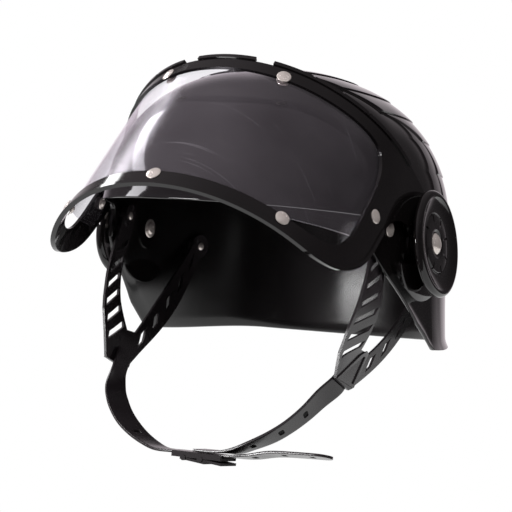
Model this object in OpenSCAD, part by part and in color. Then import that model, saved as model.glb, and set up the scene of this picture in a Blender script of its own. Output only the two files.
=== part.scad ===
// Light moulded police helmet with a raised clear visor, ear discs and a lattice chin strap.
// Origin: the middle of the visor's hinge axis, between the two ear pivots. Front is -Y, up is +Z,
// and +X is the wearer's left.

/* [Shell] */
// Half width of the shell at the ears, without plates or lip
shell_half_w = 95; // [90:0.5:98]
// From the ear axis to the forehead
shell_front = 118; // [112:1:122]
// From the ear axis to the back of the head
shell_rear = 122; // [112:1:128]
// From the ear axis to the crown, without the raised panel
shell_crown = 102; // [98:0.5:104]
// Wall of the shell
shell_wall = 2.4; // [1.8:0.1:3]
// Height of the brow edge over the ear axis
brow_z = 12; // [8:1:16]
// Depth of the neck edge under the ear axis
neck_drop = 59; // [54:1:62]
// Outward flare of the neck and cheek skirt
skirt_flare = 7; // [5:0.5:10]
// Height of the rear plates over the shell
plate_rise = 1.8; // [0.8:0.1:2.2]
// Turned-out lip along the lower edge
lip_out = 1.6; // [1:0.1:3]

/* [Visor] */
// How far the visor's wall, at half height, stands out over the shell's half width
visor_over = 2; // [2:0.1:3.4]
// Distance of the visor's round front before the hinge axis
visor_ahead = 30.4; // [30.2:0.1:34]
// Wall of the visor frame
visor_wall = 2; // [1.8:0.1:2.2]
// Height of the frame's top edge over the hinge axis, visor down
visor_top = 23.5; // [22.5:0.5:27]
// Depth of the frame's bottom edge under the hinge axis, visor down
visor_drop = 91; // [88:1:96]
// Width of the frame's bottom and top bars
visor_bar = 11; // [10:0.5:12]
// Clear sheet's thickness
sheet_t = 0.8; // [0.5:0.1:1.2]
// Angle by which the visor is raised from its closed place
visor_up = 41; // [0:1:55]

/* [Ear discs] */
// Outer radius of an ear disc
disc_r = 32.4; // [30:0.2:33]
// Thickness of the disc's rounded rim
disc_rim = 6; // [5:0.2:7]
// Upward tilt of the discs
disc_tilt = 7.9; // [6:0.1:9]
// Rearward turn of the discs
disc_turn = 3; // [0:0.5:4]
// Diameter of the ear pivot's shank
pivot_d = 5; // [4:0.1:6]
// Radial play of the parts that turn on the pivot
pivot_play = 0.05; // [0.02:0.01:0.1]

/* [Rivets] */
// Head diameter of the small rivets
rivet_head_d = 8.6; // [7.6:0.1:9]
// Head height of the small rivets
rivet_head_h = 1.25; // [1:0.05:1.3]
// Shank diameter of the small rivets
rivet_d = 3; // [2.4:0.1:3.4]
// Head diameter of the ear pivots
pivot_head_d = 13; // [11:0.2:14]

/* [Chin strap] */
// Width of the strap band
strap_w = 15; // [13:0.5:16]
// Thickness of the strap and its yokes
strap_t = 1.6; // [1.2:0.1:2]
// Depth of the yoke's joint under the ear axis
yoke_drop = 79; // [74:1:84]
// Depth of the strap's lowest point under the ear axis
chin_drop = 137; // [130:1:142]
// Forward reach of the strap's lowest point
chin_ahead = 81; // [76:1:86]
// Length of the free strap end beyond the buckle
tail_len = 72; // [50:1:84]

/* [Hidden] */
$fn = 48;
// Clearance of a rivet's shank in its hole, on the radius
hole_play = 0.1;
// Height of the skirt, from the ear axis to the level where its flare is measured
skirt_h = 60;
// Roundness of the shell in plan and in section, as superellipse powers
plan_n = 2.5;
dome_n = 2.36;
// Rearward shift of the crown
crown_back = 8;
black = [0.07, 0.065, 0.065];
soft_black = [0.2, 0.19, 0.2];
nickel = [0.72, 0.69, 0.66];
clear = [0.62, 0.6, 0.66, 0.35];

// Small helpers: signed power, unit vector, smooth step and a spline through hand-set points
function spow(v, p) = sign(v) * pow(abs(v), p);
function unit(v) = v / norm(v);
function clamp(v, lo = 0, hi = 1) = max(lo, min(hi, v));
function smooth(v) = let(c = clamp(v)) c * c * (3 - 2 * c);
function knot(pts, i) = pts[max(0, min(len(pts) - 1, i))];
function spline_pt(pts, u) =
    let(i = min(floor(u), len(pts) - 2), t = u - i,
        a = knot(pts, i - 1), b = knot(pts, i), c = knot(pts, i + 1), d = knot(pts, i + 2))
    0.5 * (2 * b + (c - a) * t + (2 * a - 5 * b + 4 * c - d) * t * t + (3 * b - a - 3 * c + d) * t * t * t);
function spline(pts, n) = [for (i = [0 : n]) spline_pt(pts, i * (len(pts) - 1) / n)];

// The shell's base form. az runs from 0 at the front to 180 at the back, negative on the right;
// tau runs from 1 at the crown through 0 at the ear axis to -1 at the foot of the skirt.
// inset moves the whole form inwards.
function tau_at(z) = z < 0 ? z / skirt_h : asin(pow(z / shell_crown, dome_n / 2)) / 90;
function base_pt(az, tau, inset = 0) =
    let(s = sin(az), c = cos(az), t = clamp(tau), dn = max(0, -tau),
        k = pow(max(0, cos(90 * t)), 2 / dome_n),
        b = (c > 0 ? shell_front : shell_rear) - inset,
        flare = skirt_flare * pow(dn, 1.6) * s * s * (c > 0 ? 1 : 1 + 0.5 * c),
        x = ((shell_half_w - inset) * k + flare) * spow(s, 2 / plan_n),
        y = -b * k * spow(c, 2 / plan_n) + crown_back * t * t + 2 * pow(dn, 1.6) * max(0, -c),
        z = (shell_crown - inset) * pow(sin(90 * t), 2 / dome_n) - skirt_h * dn)
    [x, y, z];
function base_dir(p) =
    unit([p[0] / pow(shell_half_w, 2), p[1] / pow(shell_rear, 2), max(0, p[2]) / pow(shell_crown, 2)]);
// Azimuth at which the form's side stands y behind the ear axis
function az_at(y) = acos(-spow(y / (y < 0 ? shell_front : shell_rear), plan_n / 2));

// The raised rear panel: overlapping plates, each with its lower edge standing proud over the next
// one, in front of them a smooth border, and a scalloped front edge that runs over the crown and
// down behind the ears. plate_taus are the plates' lower edges.
plate_taus = [0.93, 0.79, 0.645, 0.52, 0.4, 0.255, 0.09];
border_w = 9;
function plate_part(tau) =
    let(hit = [for (i = [0 : len(plate_taus) - 2])
        if (tau <= plate_taus[i] && tau > plate_taus[i + 1])
            (plate_taus[i] - tau) / (plate_taus[i] - plate_taus[i + 1])])
    len(hit) > 0 ? hit[0] : 0;
function panel_edge(tau) =
    99 - 38 * pow(max(0, tau - 0.2) / 0.47, 3) - (tau < 0 ? 4 * smooth(-tau / 0.6) : 0);
function scallop(tau) =
    tau > plate_taus[len(plate_taus) - 1] ? -1.7 * pow(abs(2 * plate_part(tau) - 1), 3) : 0;
function plates(az, tau) =
    let(a = abs(az) - panel_edge(tau) - scallop(tau), border = border_w * clamp((0.5 - tau) / 0.1))
    plate_rise * (0.4 * smooth(a / 1.6) + smooth((a - border) / 1.6) * (0.1 + 0.4 * plate_part(tau)));

// The lower edge, on the left half, as azimuth and height: brow, temple corner and cheek, and from
// the foot of the panel's front edge the neck
temple = [[-50, 2], [-50, -6], [-47, -11], [-36, -20], [-22, -30], [-8, -41], [5, -51.5], [21, -62.5]];
// Neck depth and brow height that the temple's points are set for
temple_neck = 59;
temple_brow = 12;
temple_z = function(z) z < 0 ? z * neck_drop / temple_neck : z * brow_z / temple_brow;
face_knots = concat([for (a = [0 : 6 : 60]) [a, brow_z]], [[66, brow_z - 0.5], [69.5, brow_z - 3.5]],
    [for (p = temple) [az_at(p[0]), temple_z(p[1])]]);
face_n = 24;
neck_n = 16;
// Height of the neck edge at the very back over its depth at the sides
back_rise = 3;
face_edge = [for (i = [0 : face_n])
    let(a = 99 * i / face_n) spline_pt(face_knots, a < 60 ? a / 6 : 10 + (a - 60) / 39 * 10)];
foot = face_edge[face_n];
neck_off = [1.2, 2.6, 5, 8.6, 9.8, 11.2, 14, 19];
neck_edge = [for (i = [1 : neck_n]) let(a = i <= len(neck_off) ? foot[0] + neck_off[i - 1]
    : foot[0] + 19 + (180 - foot[0] - 19) * (i - len(neck_off)) / (neck_n - len(neck_off)))
    [a, foot[1] + (back_rise - neck_drop - foot[1]) * smooth((a - foot[0]) / 50)]];
edge_half = concat(face_edge, neck_edge);
edge_n = face_n + neck_n;
edge_all = concat(edge_half, [for (i = [edge_n - 1 : -1 : 1]) [-edge_half[i][0], edge_half[i][1]]]);

// Azimuth of a mesh column above the brow's level. The columns in front share the space up to the
// panel's front edge, and those behind follow that edge and the border before they spread out.
function column_az(i, tau) =
    let(e = max(12, panel_edge(tau) + scallop(tau)))
    i <= face_n ? e * i / face_n
    : i <= face_n + len(neck_off) ? e + neck_off[i - face_n - 1]
    : e + 19 + (161 - e) * (i - face_n - len(neck_off)) / (neck_n - len(neck_off));
function half_index(i) = i <= edge_n ? i : 2 * edge_n - i;
function side_of(i) = i <= edge_n ? 1 : -1;
skirt_tau = 0.07;
skirt_rows = [0, 0.05, 0.11, 0.18, 0.3, 0.45, 0.6, 0.75, 0.9];
dome_rows = concat([skirt_tau], [for (k = [len(plate_taus) - 1 : -1 : 0])
    each [plate_taus[k] - 0.004, plate_taus[k] + 0.004,
        plate_taus[k] + (k > 0 ? (plate_taus[k - 1] - plate_taus[k]) / 3 : 0.02),
        plate_taus[k] + (k > 0 ? (plate_taus[k - 1] - plate_taus[k]) / 3 * 2 : 0.04)]]);
inner_rows = [skirt_tau, 0.14, 0.22, 0.31, 0.41, 0.52, 0.64, 0.76, 0.87, 0.95];
// Lip: proud at the edge and gone 6 mm up, slight at the temples, where the visor's arms pass
function lip(edge_z, up) =
    (0.6 + (lip_out - 0.6) * smooth((-edge_z - 24) / 22)) * pow(max(0, 1 - up / 6), 2);

// A point of the mesh: in the skirt s runs from the lower edge up to skirt_tau
function skirt_pt(i, s, inset) =
    let(h = half_index(i), e = edge_half[h], et = tau_at(e[1]), tau = et + (skirt_tau - et) * s,
        az = side_of(i) * (e[0] + (column_az(h, skirt_tau) - e[0]) * (1 - pow(1 - s, 2))),
        p = base_pt(az, tau, inset))
    p + base_dir(p) * (lip(e[1], p[2] - e[1]) + (inset > 0 ? 0 : plates(az, tau)));
function dome_pt(i, tau, inset) =
    let(h = half_index(i), az = side_of(i) * column_az(h, tau), p = base_pt(az, tau, inset))
    p + base_dir(p) * (lip(edge_half[h][1], p[2] - edge_half[h][1]) + (inset > 0 ? 0 : plates(az, tau)));

module shell_skin() {
    cols = 2 * edge_n;
    outer = concat([for (s = skirt_rows) for (i = [0 : cols - 1]) skirt_pt(i, s, 0)],
        [for (tau = dome_rows) for (i = [0 : cols - 1]) dome_pt(i, tau, 0)]);
    inner = concat([for (s = skirt_rows) for (i = [0 : cols - 1]) skirt_pt(i, s, shell_wall)],
        [for (tau = inner_rows) for (i = [0 : cols - 1]) dome_pt(i, tau, shell_wall)]);
    rows_o = len(skirt_rows) + len(dome_rows);
    rows_i = len(skirt_rows) + len(inner_rows);
    crown = [[0, crown_back, shell_crown + plate_rise * 0.45], [0, crown_back, shell_crown - shell_wall]];
    base_i = len(outer);
    pole = len(outer) + len(inner);
    function next(i) = (i + 1) % cols;
    faces_o = [for (j = [0 : rows_o - 2]) for (i = [0 : cols - 1]) let(b = j * cols)
        each [[b + i, b + cols + i, b + cols + next(i)], [b + i, b + cols + next(i), b + next(i)]]];
    faces_i = [for (j = [0 : rows_i - 2]) for (i = [0 : cols - 1]) let(b = base_i + j * cols)
        each [[b + i, b + cols + next(i), b + cols + i], [b + i, b + next(i), b + cols + next(i)]]];
    foot_f = [for (i = [0 : cols - 1])
        each [[i, next(i), base_i + next(i)], [i, base_i + next(i), base_i + i]]];
    cap_o = [for (i = [0 : cols - 1]) [(rows_o - 1) * cols + i, pole, (rows_o - 1) * cols + next(i)]];
    cap_i = [for (i = [0 : cols - 1]) let(b = base_i + (rows_i - 1) * cols) [b + i, b + next(i), pole + 1]];
    polyhedron(concat(outer, inner, crown), concat(faces_o, faces_i, foot_f, cap_o, cap_i));
}

// Where the yoke's rivets pass through the shell's side: place on the inner wall and direction
front_rivet = [-34, 5.5];
rear_rivet = [54, -7];
function wall_pt(yz, inset) = base_pt(az_at(yz[0]), tau_at(yz[1]), inset);
function wall_dir(yz) =
    let(a = az_at(yz[0]), t = tau_at(yz[1]), p = base_pt(a, t),
        u = base_pt(a + 0.5, t) - p, v = base_pt(a, t + 0.005) - p)
    unit(cross(u, v));
function wall_thick(yz) = (wall_pt(yz, 0) - wall_pt(yz, shell_wall)) * wall_dir(yz);
module facing(p, d) {
    x = unit(cross([0, 0, 1], d));
    y = cross(d, x);
    multmatrix([[x[0], y[0], d[0], p[0]], [x[1], y[1], d[1], p[1]], [x[2], y[2], d[2], p[2]], [0, 0, 0, 1]])
        children();
}
module yoke_hole(yz) {
    facing(wall_pt(yz, 0), wall_dir(yz)) translate([0, 0, -15]) cylinder(r = rivet_d / 2 + hole_play, h = 30);
}
module sides() {
    children();
    mirror([1, 0, 0]) children();
}

// Seat of the ear: a round pad that the visor's arm turns against, and under it the half-round
// ledge that stops the arm when the visor is down
pad_r = 13;
pad_x = shell_half_w + 1.5;
ledge_r = 34.5;
ledge_x = shell_half_w + 6.5;
ledge_top = -13.4;
pivot_bore_r = pivot_d / 2 + pivot_play;
inner_x = shell_half_w - shell_wall;
module ear_seat() {
    rotate([0, 90, 0]) translate([0, 0, inner_x]) cylinder(r = pad_r, h = pad_x - inner_x);
    intersection() {
        rotate([0, 90, 0]) translate([0, 0, inner_x + shell_wall / 2])
            cylinder(r = ledge_r, h = ledge_x - inner_x - shell_wall / 2, $fn = 96);
        translate([shell_half_w - 3, -50, -50]) cube([20, 100, 50 + ledge_top]);
    }
}
module shell() {
    color(black) difference() {
        union() {
            shell_skin();
            sides() ear_seat();
        }
        sides() rotate([0, 90, 0]) translate([0, 0, 60]) cylinder(r = pivot_bore_r, h = 60);
        sides() for (yz = [front_rivet, rear_rivet])
            yoke_hole(yz);
    }
}

// The visor is drawn closed, upright, then raised about the hinge axis
visor_r = shell_half_w + visor_over;
visor_cone = 1.5;
visor_mid = -33;
arm_from = 83;
function visor_rad(h) = visor_r - tan(visor_cone) * (h - visor_mid);
// The flat arms stand outwards, and at the hinge axis their middle has reached arm_x. The hub is
// a boss through the arm: from just outside the pad to hub_boss beyond the arm's middle.
arm_x = (visor_rad(0) + visor_ahead * cos(arm_from)) / sin(arm_from);
hub_boss = 2.81;
hub_r = 12;
hub_in = pad_x + 0.3;
hub_out = arm_x + hub_boss;
module raised() {
    rotate([-visor_up, 0, 0]) children();
}
// A place on the visor's wall, angle th from the front and height h, with +Z pointing outwards
module on_visor(th, h) {
    translate([0, -visor_ahead, 0]) rotate([0, 0, th]) translate([0, -visor_rad(h), h])
        rotate([90 - visor_cone, 0, 0]) children();
}
// The visor's wall between two heights and two offsets from its middle: a cone in front, running
// on straight and tangent into flat arms at the sides. Each half ends at the middle plane.
module visor_section(lo, hi, in, out) {
    low = visor_rad(lo);
    high = visor_rad(hi);
    polygon([[low + in, lo], [low + out, lo], [high + out, hi], [high + in, hi]]);
}
module cone_band(lo, hi, in, out, half_angle) {
    translate([0, -visor_ahead, 0]) rotate([0, 0, -90 - half_angle])
        rotate_extrude(angle = 2 * half_angle, $fn = 180) visor_section(lo, hi, in, out);
}
module visor_wall_band(lo, hi, in, out) {
    sides() intersection() {
        translate([0, -visor_ahead, 0]) rotate([0, 0, arm_from - 90]) {
            translate([0, 60, 0]) rotate([90, 0, 0]) linear_extrude(60) visor_section(lo, hi, in, out);
            mirror([0, 1, 0]) rotate_extrude(angle = arm_from + 4, $fn = 180) visor_section(lo, hi, in, out);
        }
        translate([0, -160, lo - 1]) cube([160, 220, hi - lo + 2]);
    }
}
// A cut that goes right through the visor from side to side
module through_sides() {
    translate([-1.4 * shell_half_w, 0, 0]) rotate([90, 0, 90]) linear_extrude(2.8 * shell_half_w) children();
}
module side_profile(pts) {
    through_sides() polygon(pts);
}
// Side outline of the frame from its bottom bar to the hub, as distance behind the axis and height
frame_rear = spline([[-90, -visor_drop], [-78, -visor_drop + 0.8], [-66, -visor_drop + 5],
    [-57, -visor_drop + 11.4], [-49, -visor_drop + 21], [-44, -visor_drop + 31], [-41.5, -49],
    [-40, -34], [-37.8, -22], [-31, -12.2], [-20, -6.8], [-8, -8.9]], 33);
function inset_line(pts, e) = [for (i = [0 : len(pts) - 1])
    let(d = unit(knot(pts, i + 1) - knot(pts, i - 1))) pts[i] + e * [-d[1], d[0]]];
function frame_outline(e) = concat([[-150, -visor_drop + e]], inset_line(frame_rear, e),
    [[6, -6], [6, 9], [-14, visor_top - e], [-150, visor_top - e]]);
window_rear = spline([[-95, -visor_drop + visor_bar], [-82, -visor_drop + visor_bar + 1.6],
    [-72, -73.6], [-64.6, -65.5], [-61.4, -55], [-60.4, -40], [-60.2, -14], [-62.4, -1],
    [-68.6, visor_top - 15.4], [-78, visor_top - visor_bar - 0.8], [-92, visor_top - visor_bar]], 30);
window_outline =
    concat([[-150, -visor_drop + visor_bar]], window_rear, [[-150, visor_top - visor_bar]]);
top_rivets = [[-24, visor_top - 9.4], [24, visor_top - 9.4]];
bottom_rivets = [[0, -visor_drop + 8.6], [-46.2, -visor_drop + 8.8], [46.2, -visor_drop + 8.8]];
side_rivets = [[-77.2, -30.5], [77.2, -30.5]];
all_rivets = concat(top_rivets, bottom_rivets, side_rivets);
module frame_hub() {
    rotate([0, 90, 0]) translate([0, 0, hub_in]) cylinder(r = hub_r, h = hub_out - hub_in);
}
// Raised bead along the frame's edges, and where it ends before the hub
bead_h = 0.9;
bead_w = 2.6;
bead_end = -44;
// Notches in the top edge round the two upper rivets, and narrow breaks in the top bead
notch_w = 11.6;
notch_at = 15;
break_w = 1.6;
break_at = [33.5, 45, 56.5];
module visor_rivet_holes() {
    for (r = all_rivets)
        on_visor(r[0], r[1]) translate([0, 0, -8]) cylinder(r = rivet_d / 2 + hole_play, h = 20);
}
module visor_frame() {
    w = visor_wall / 2;
    color(black) raised() difference() {
        union() {
            intersection() {
                visor_wall_band(-visor_drop - 5, visor_top + 5, -w, w + bead_h);
                side_profile(frame_outline(0));
            }
            sides() frame_hub();
        }
        intersection() {
            visor_wall_band(-visor_drop - 5, visor_top + 5, w, w + 5);
            through_sides() {
                polygon(frame_outline(bead_w));
                translate([bead_end, -30]) square([80, 80]);
            }
            translate([-1.4 * shell_half_w, -160, -110]) cube([2.8 * shell_half_w, 146, 160]);
        }
        side_profile(window_outline);
        for (s = [-1, 1])
            on_visor(s * notch_at, visor_top) translate([-notch_w / 2, -3, -8]) cube([notch_w, 8, 16]);
        for (s = [-1, 1], a = break_at)
            on_visor(s * a, visor_top) translate([-break_w / 2, -bead_w, w + 0.1]) cube([break_w, 8, 6]);
        visor_rivet_holes();
        sides() rotate([0, 90, 0]) translate([0, 0, 80]) cylinder(r = pivot_bore_r, h = 40);
        sides() translate([hub_out, -40, -40]) cube([20, 80, 90]);
    }
}

// Clear sheet bent round inside the frame, its lower corners cut off slantwise
sheet_out = -visor_wall / 2 - 0.05;
module visor_window() {
    color(clear) raised() difference() {
        intersection() {
            cone_band(-visor_drop + 4.5, visor_top - 4, sheet_out - sheet_t, sheet_out, 81.5);
            side_profile([[-150, -visor_drop + 4.5], [-108, -visor_drop + 4.5], [-53, -50.3],
                [-40, -42], [-40, visor_top - 4], [-150, visor_top - 4]]);
        }
        visor_rivet_holes();
    }
}

// A rivet along +Z: domed head on z = 0, shank through the grip, and its clinched tail
function arc_pts(c, r, from, to, n) =
    [for (i = [0 : n]) let(a = from + (to - from) * i / n) c + r * [cos(a), sin(a)]];
function dome(rad, h, edge, n) =
    let(ball = (rad * rad + pow(h - edge, 2)) / (2 * (h - edge)), a = asin(rad / ball))
    [for (i = [0 : n]) [ball * sin(a * (1 - i / n)), h - ball + ball * cos(a * (1 - i / n))]];
module rivet(head_d, head_h, shank_d, grip) {
    tail = shank_d * 0.85;
    rotate_extrude() polygon(concat(
        [[0, -grip - 1], [shank_d * 0.3, -grip - 1.1], [tail, -grip - 0.6], [tail, -grip],
         [shank_d / 2, -grip], [shank_d / 2, 0], [head_d / 2 - 0.2, 0], [head_d / 2, 0.25]],
        dome(head_d / 2, head_h, 0.45, 8)));
}
module washer(out_d, in_d, t) {
    out_r = out_d / 2;
    rotate_extrude()
        polygon([[in_d / 2, 0], [out_r - 0.2, 0], [out_r, 0.2], [out_r, t - 0.2], [out_r - 0.2, t],
            [in_d / 2, t]]);
}
washer_t = 0.6;
washer_gap = 0.15;
visor_grip = visor_wall + 0.05 + sheet_t + washer_gap + washer_t + 0.05;
module visor_rivets(places) {
    color(nickel) raised() for (r = places)
        on_visor(r[0], r[1]) translate([0, 0, visor_wall / 2 + 0.05])
            rivet(rivet_head_d, rivet_head_h, rivet_d, visor_grip + 0.05);
}
module visor_washers(places) {
    color(nickel) raised() for (r = places)
        on_visor(r[0], r[1]) translate([0, 0, sheet_out - sheet_t - washer_gap - washer_t])
            washer(rivet_head_d - 0.6, rivet_d + 2 * hole_play, washer_t);
}
module visor_rivets_top() visor_rivets(top_rivets);
module visor_rivets_bottom() visor_rivets(bottom_rivets);
module visor_rivets_side() visor_rivets(side_rivets);
module visor_washers_top() visor_washers(top_rivets);
module visor_washers_bottom() visor_washers(bottom_rivets);
module visor_washers_side() visor_washers(side_rivets);

// Ear discs: dished caps with a rounded rim, a raised ring with eight notches and a recess for the rivet
knee_x = hub_out + 0.6;
disc_back = 1.5;
disc_hub_r = 8;
disc_face = disc_back + disc_rim;
module on_disc_axis() {
    translate([knee_x, 0, 0]) rotate([0, 0, disc_turn]) rotate([0, 90 - disc_tilt, 0]) children();
}
module disc_body() {
    rr = disc_rim / 2;
    under = disc_face - 4.6;
    groove = disc_face - 3.2;
    difference() {
        rotate_extrude($fn = 128) polygon(concat(
            [[pivot_bore_r, disc_back], [disc_hub_r, disc_back], [disc_hub_r, under], [disc_r - 4.6, under],
             [disc_r - 3.2, disc_back + 0.6], [disc_r - 2.4, disc_back]],
            arc_pts([disc_r - rr, disc_face - rr], rr, -35, 100, 12),
            [[disc_r - 5.4, disc_face - 0.9], [disc_r - 8.6, disc_face - 2], [disc_r - 12.6, disc_face - 2.5],
             [18.6, disc_face - 2.5], [18.6, groove], [17.6, groove], [17.6, disc_face - 2.2],
             [8.2, disc_face - 1.9], [7.2, disc_face - 3], [pivot_bore_r, disc_face - 3]]));
        for (a = [15 : 45 : 345]) rotate([0, 0, a]) translate([16.6, -0.7, groove]) cube([3.6, 1.4, 4]);
    }
}
module ear_disc_left() color(black) on_disc_axis() disc_body();
module ear_disc_right() mirror([1, 0, 0]) ear_disc_left();

// Ear pivots: a straight shank on the hinge axis through wall and arm, a collar outside the arm,
// then the disc's own tilted shank with the head, and inside the shell a clinched tail
pivot_head_z = disc_face - 3;
module pivot_rivet_left() {
    tail_x = inner_x - washer_t - seat_gap - 0.05;
    collar_x = hub_out + 0.15;
    color(nickel) {
        rotate([0, 90, 0]) translate([0, 0, tail_x]) cylinder(r = pivot_d / 2, h = knee_x - 0.35 - tail_x);
        rotate([0, 90, 0]) translate([0, 0, tail_x - 1.4]) cylinder(r = pivot_d * 0.8, h = 1.4);
        rotate([0, 90, 0]) translate([0, 0, collar_x])
            cylinder(r = pivot_d / 2 + 1.3, h = knee_x + 0.8 - collar_x);
        on_disc_axis() translate([0, 0, 0.1]) cylinder(r = pivot_d / 2, h = pivot_head_z);
        on_disc_axis() translate([0, 0, pivot_head_z + 0.05]) rotate_extrude() polygon(concat(
            [[0, 0], [pivot_head_d / 2 - 0.3, 0], [pivot_head_d / 2, 0.3]],
            dome(pivot_head_d / 2, 3, 0.6, 10)));
    }
}
module pivot_rivet_right() mirror([1, 0, 0]) pivot_rivet_left();
module pivot_washer_left() {
    color(nickel) translate([inner_x - washer_t - seat_gap, 0, 0]) rotate([0, 90, 0])
        washer(12, pivot_d + 0.1, washer_t);
}
module pivot_washer_right() mirror([1, 0, 0]) pivot_washer_left();

// Strap yokes: flat Y-shaped lattices, riveted inside the shell at the temple and behind the ear,
// meeting in a joint plate below the cheek. Drawn flat, with the joint at 0,0, u backwards, v up.
joint = [78.2, -43, -yoke_drop];
seat_gap = 0.3;
seat_t = 1.4;
yoke_in = seat_gap + seat_t + strap_t;
yoke_a = wall_pt(front_rivet, shell_wall) - wall_dir(front_rivet) * yoke_in;
yoke_c = wall_pt(rear_rivet, shell_wall) - wall_dir(rear_rivet) * yoke_in;
yoke_n = unit(cross(yoke_c - joint, yoke_a - joint));
yoke_u = unit(cross([0, 0, 1], yoke_n));
yoke_v = cross(yoke_n, yoke_u);
function flat(p) = [(p - joint) * yoke_u, (p - joint) * yoke_v];
flat_a = flat(yoke_a);
flat_c = flat(yoke_c);
module in_yoke() {
    multmatrix([[yoke_u[0], yoke_v[0], yoke_n[0], joint[0]],
        [yoke_u[1], yoke_v[1], yoke_n[1], joint[1]],
        [yoke_u[2], yoke_v[2], yoke_n[2], joint[2]],
        [0, 0, 0, 1]]) children();
}
// The front arm runs up to its pad and the rear arm back to its own. Worn soft, the left yoke's rear
// arm bows well down in the middle, by sag, and the right one's hangs nearly straight.
arm_left = [[-4.6, -18.2], [11, -18.8], [27, -19.2], [47, -13.8], [64, -7], [flat_a[1], flat_a[0] - 7]];
arm_right = [[13, 7], [32, 5.6], [50, 7], [66, 10.6], [flat_a[1], flat_a[0] + 7]];
function edge_line(pts) =
    [for (i = [0 : 12]) let(v = pts[0][0] + (flat_a[1] - pts[0][0]) * i / 12) [lookup(v, pts), v]];
function backwards(pts) = [for (k = [len(pts) - 1 : -1 : 0]) pts[k]];
rear_from = [2, -5];
rear_dir = unit(flat_c - rear_from);
function rear_line(sag) =
    [for (i = [0 : 24]) rear_from + (flat_c - rear_from) * i / 24
        + sag * sin(180 * i / 24) * [rear_dir[1], -rear_dir[0]]];
rear_half = 6.2;
slot_edge = 3;
module front_slots() {
    for (i = [0 : 5]) {
        v = 13 + 10.2 * i;
        l = lookup(v - 5, arm_left) + slot_edge;
        m = lookup(v + 4, arm_right) - slot_edge;
        polygon([[l, v - 6], [m, v + 1.8], [m + 1.4, v + 6.2], [l + 1.4, v - 1.6]]);
    }
}
module rear_slots(sag) {
    line = rear_line(sag);
    for (i = [5 : 4 : 21]) {
        c = line[i];
        d = unit(line[i + 1] - line[i - 1]);
        side = (rear_half - 2.2) * [0.42, 1];
        polygon([c - side - d * 4.6, c - side + d * 3.4, c + side + d * 4.6, c + side - d * 3.4]);
    }
}
module yoke_flat(sag) {
    line = rear_line(sag);
    difference() {
        union() {
            polygon(concat(edge_line(arm_left), backwards(edge_line(arm_right)),
                [[19.8, 11], [7.4, -10.4], [2, -11.6]]));
            polygon(concat(inset_line(line, rear_half), backwards(inset_line(line, -rear_half))));
        }
        front_slots();
        rear_slots(sag);
    }
}
// Round pads that seat the yoke on the shell
yoke_pad_r = 7.5;
pad_proud = 0.8;
// Raised border of the joint plate
module yoke_border() {
    difference() {
        polygon([[-17.6, -4.6], [14.2, 12.6], [19.4, 10.8], [7.2, -10]]);
        polygon([[-11.4, -4.2], [13.4, 9.2], [15.4, 8.6], [5.6, -7.8]]);
    }
}
module yoke(sag) {
    difference() {
        union() {
            in_yoke() linear_extrude(strap_t) yoke_flat(sag);
            in_yoke() translate([0, 0, strap_t - 0.1]) linear_extrude(0.9) yoke_border();
            for (yz = [front_rivet, rear_rivet]) facing(wall_pt(yz, shell_wall), wall_dir(yz))
                translate([0, 0, -yoke_in - pad_proud])
                    cylinder(r = yoke_pad_r, h = seat_t + strap_t + pad_proud);
        }
        for (yz = [front_rivet, rear_rivet])
            yoke_hole(yz);
    }
}
module strap_yoke_left() color(soft_black) yoke(12);
module strap_yoke_right() mirror([1, 0, 0]) color(soft_black) yoke(5);
module yoke_rivets_left() {
    color(nickel) for (yz = [front_rivet, rear_rivet])
        let(rise = plates(az_at(yz[0]), tau_at(yz[1])) + 0.25)
            facing(wall_pt(yz, 0), wall_dir(yz)) translate([0, 0, rise])
                rivet(rivet_head_d, rivet_head_h, rivet_d, rise + wall_thick(yz) + yoke_in + pad_proud + 0.1);
}
module yoke_rivets_right() mirror([1, 0, 0]) yoke_rivets_left();

// A flat band along a path: each knot has its place and the direction of the band's width
module band(places, across, n, w, t) {
    pts = spline(places, n);
    wid = spline(across, n);
    ring = [for (i = [0 : n])
        let(d = unit(knot(pts, i + 1) - knot(pts, i - 1)),
            a = unit(wid[i] - (wid[i] * d) * d), side = a * w / 2, up = cross(d, a) * t / 2)
        each [pts[i] - side - up, pts[i] + side - up, pts[i] + side + up, pts[i] - side + up]];
    sides_f = [for (i = [0 : n - 1]) for (k = [0 : 3]) let(a = 4 * i + k, b = 4 * i + (k + 1) % 4)
        each [[a, b + 4, b], [a, a + 4, b + 4]]];
    last = 4 * n;
    polyhedron(ring, concat(sides_f, [[0, 2, 3], [0, 1, 2]],
        [[last, last + 2, last + 1], [last, last + 3, last + 2]]));
}
// The strap halves hang from the joint plates and meet at the buckle. Each path's points are the
// band's middle, with the direction across the band beside them. A hanging point is given by its
// reach and drop from the joint, as drawn for a strap whose lowest point lies 38 ahead and 58 down.
strap_mid = [0, -chin_ahead, -chin_drop];
drawn_reach = 38;
drawn_drop = 58;
function hanging(x, reach, drop) =
    [x, joint[1] + reach * (joint[1] - strap_mid[1]) / drawn_reach,
     joint[2] + drop * (joint[2] - strap_mid[2]) / drawn_drop];
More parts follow.
